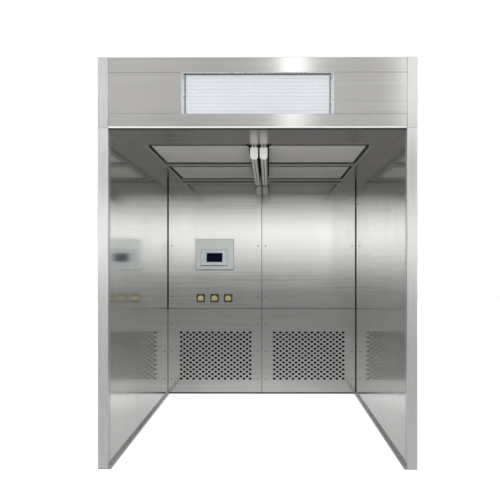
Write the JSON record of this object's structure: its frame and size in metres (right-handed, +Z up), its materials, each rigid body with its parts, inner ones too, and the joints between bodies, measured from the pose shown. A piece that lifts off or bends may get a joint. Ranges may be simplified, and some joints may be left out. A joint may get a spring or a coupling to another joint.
{
  "type": "negative pressure weighing booth",
  "caption": "Stainless weighing booth: open front, filtered ceiling air supply, perforated return grilles in the back wall, exhaust window in the header, display and lidded sockets.",
  "frame": {"origin": "on the floor, under the middle of the booth's outer box", "axes": "+Z up, -Y out of the open front, +X to the right seen from the front"},
  "size_m": [1.9, 2.5, 2.45],
  "materials": {
    "wall_lining": "horizontally brushed stainless steel, half mirror",
    "wall_panel": "brushed stainless steel outer sheet",
    "post": "vertically brushed stainless steel",
    "wall_core": "paper honeycomb core",
    "back_wall": "horizontally brushed stainless steel",
    "grille": "brushed perforated stainless steel",
    "header": "brushed stainless steel",
    "ceiling": "brushed stainless steel, in shade",
    "trim": "anodised aluminium bar",
    "casing": "brushed stainless steel service panel",
    "frame": "dark primed steel bar",
    "galvanised": "bright zinc-like sheet",
    "filter_case": "extruded filter frame",
    "filter_paper": "white pleated glass paper",
    "filter_pad": "white synthetic pad",
    "film": "fine woven diffuser screen",
    "motor": "black powder coat",
    "wheel": "bare aluminium wheel",
    "lamp_cover": "satin lamp cover",
    "lamp_cap": "white moulded end cap",
    "control_plate": "pale grey enamel plate",
    "bezel": "off-white moulded bezel",
    "screen": "dark display glass",
    "socket_brass": "dark brass plate",
    "lid_brass": "pale brass lid",
    "gland": "grey nylon gland"
  },
  "bodies": {
    "booth": {"back_panel_left": "back_wall", "back_panel_right": "back_wall", "back_wall_frame": "frame", "casing_floor": "casing", "ceiling_panel_left": "ceiling", "ceiling_panel_right": "ceiling", "control_plate": "control_plate", "diffuser_films": "film", "diffuser_frames": "trim", "diffuser_trim": "trim", "exhaust_damper_frame": "galvanised", "exhaust_filter_frame": "filter_case", "exhaust_filter_pleats": "filter_paper", "exhaust_window_frame": "trim", "fan_motor_left": "motor", "fan_motor_right": "motor", "fan_shelf": "galvanised", "header_bottom_rail": "header", "header_panel_left": "header", "header_panel_right": "header", "header_post_left": "post", "header_post_right": "post", "header_rear_panel": "casing", "header_side_left": "casing", "header_side_right": "casing", "header_top_rail": "header", "hmi_housing": "bezel", "hmi_screen": "screen", "lamp_end_caps": "lamp_cap", "lamp_left": "lamp_cover", "lamp_right": "lamp_cover", "left_base_channel": "post", "left_front_post": "post", "left_wall_lining": "wall_lining", "left_wall_panel": "wall_panel", "medium_filter_left": "filter_paper", "medium_filter_right": "filter_paper", "prefilter_left": "filter_pad", "prefilter_right": "filter_pad", "rear_panel_left": "casing", "rear_panel_right": "casing", "return_filter_rack": "galvanised", "return_grille_left": "grille", "return_grille_right": "grille", "right_base_channel": "post", "right_front_post": "post", "right_wall_lining": "wall_lining", "right_wall_panel": "wall_panel", "roof_cable_gland": "gland", "roof_panel": "casing", "socket_frames": "socket_brass", "supply_filter_rails": "galvanised", "supply_filters": "filter_paper", "wall_cores": "wall_core"},
    "exhaust_damper": {"exhaust_damper_blade": "galvanised"},
    "fan_wheel_left": {"fan_wheel_left": "wheel"},
    "fan_wheel_right": {"fan_wheel_right": "wheel"},
    "socket_lid_1": {"socket_lid_1": "lid_brass"},
    "socket_lid_2": {"socket_lid_2": "lid_brass"},
    "socket_lid_3": {"socket_lid_3": "lid_brass"}
  },
  "joints": [
    {"name": "exhaust_damper_turn", "type": "hinge", "parent": "booth", "child": "exhaust_damper", "pos_m": [0, -1.037, 2.237], "axis": [1, 0, 0], "range_deg": [0, 90]},
    {"name": "fan_spin_left", "type": "hinge", "parent": "booth", "child": "fan_wheel_left", "pos_m": [-0.44, 1.0125, 1.1], "axis": [0, 0, 1], "continuous": true},
    {"name": "fan_spin_right", "type": "hinge", "parent": "booth", "child": "fan_wheel_right", "pos_m": [0.44, 1.0125, 1.1], "axis": [0, 0, 1], "continuous": true},
    {"name": "socket_lid_hinge_1", "type": "hinge", "parent": "booth", "child": "socket_lid_1", "pos_m": [-0.577, 0.74, 0.9255], "axis": [-1, 0, 0], "range_deg": [0, 95], "stiffness_Nm_per_rad": 0.02, "springref_deg": -20.05},
    {"name": "socket_lid_hinge_2", "type": "hinge", "parent": "booth", "child": "socket_lid_2", "pos_m": [-0.447, 0.74, 0.9255], "axis": [-1, 0, 0], "range_deg": [0, 95], "stiffness_Nm_per_rad": 0.02, "springref_deg": -20.05},
    {"name": "socket_lid_hinge_3", "type": "hinge", "parent": "booth", "child": "socket_lid_3", "pos_m": [-0.317, 0.74, 0.9255], "axis": [-1, 0, 0], "range_deg": [0, 95], "stiffness_Nm_per_rad": 0.02, "springref_deg": -20.05}
  ]
}
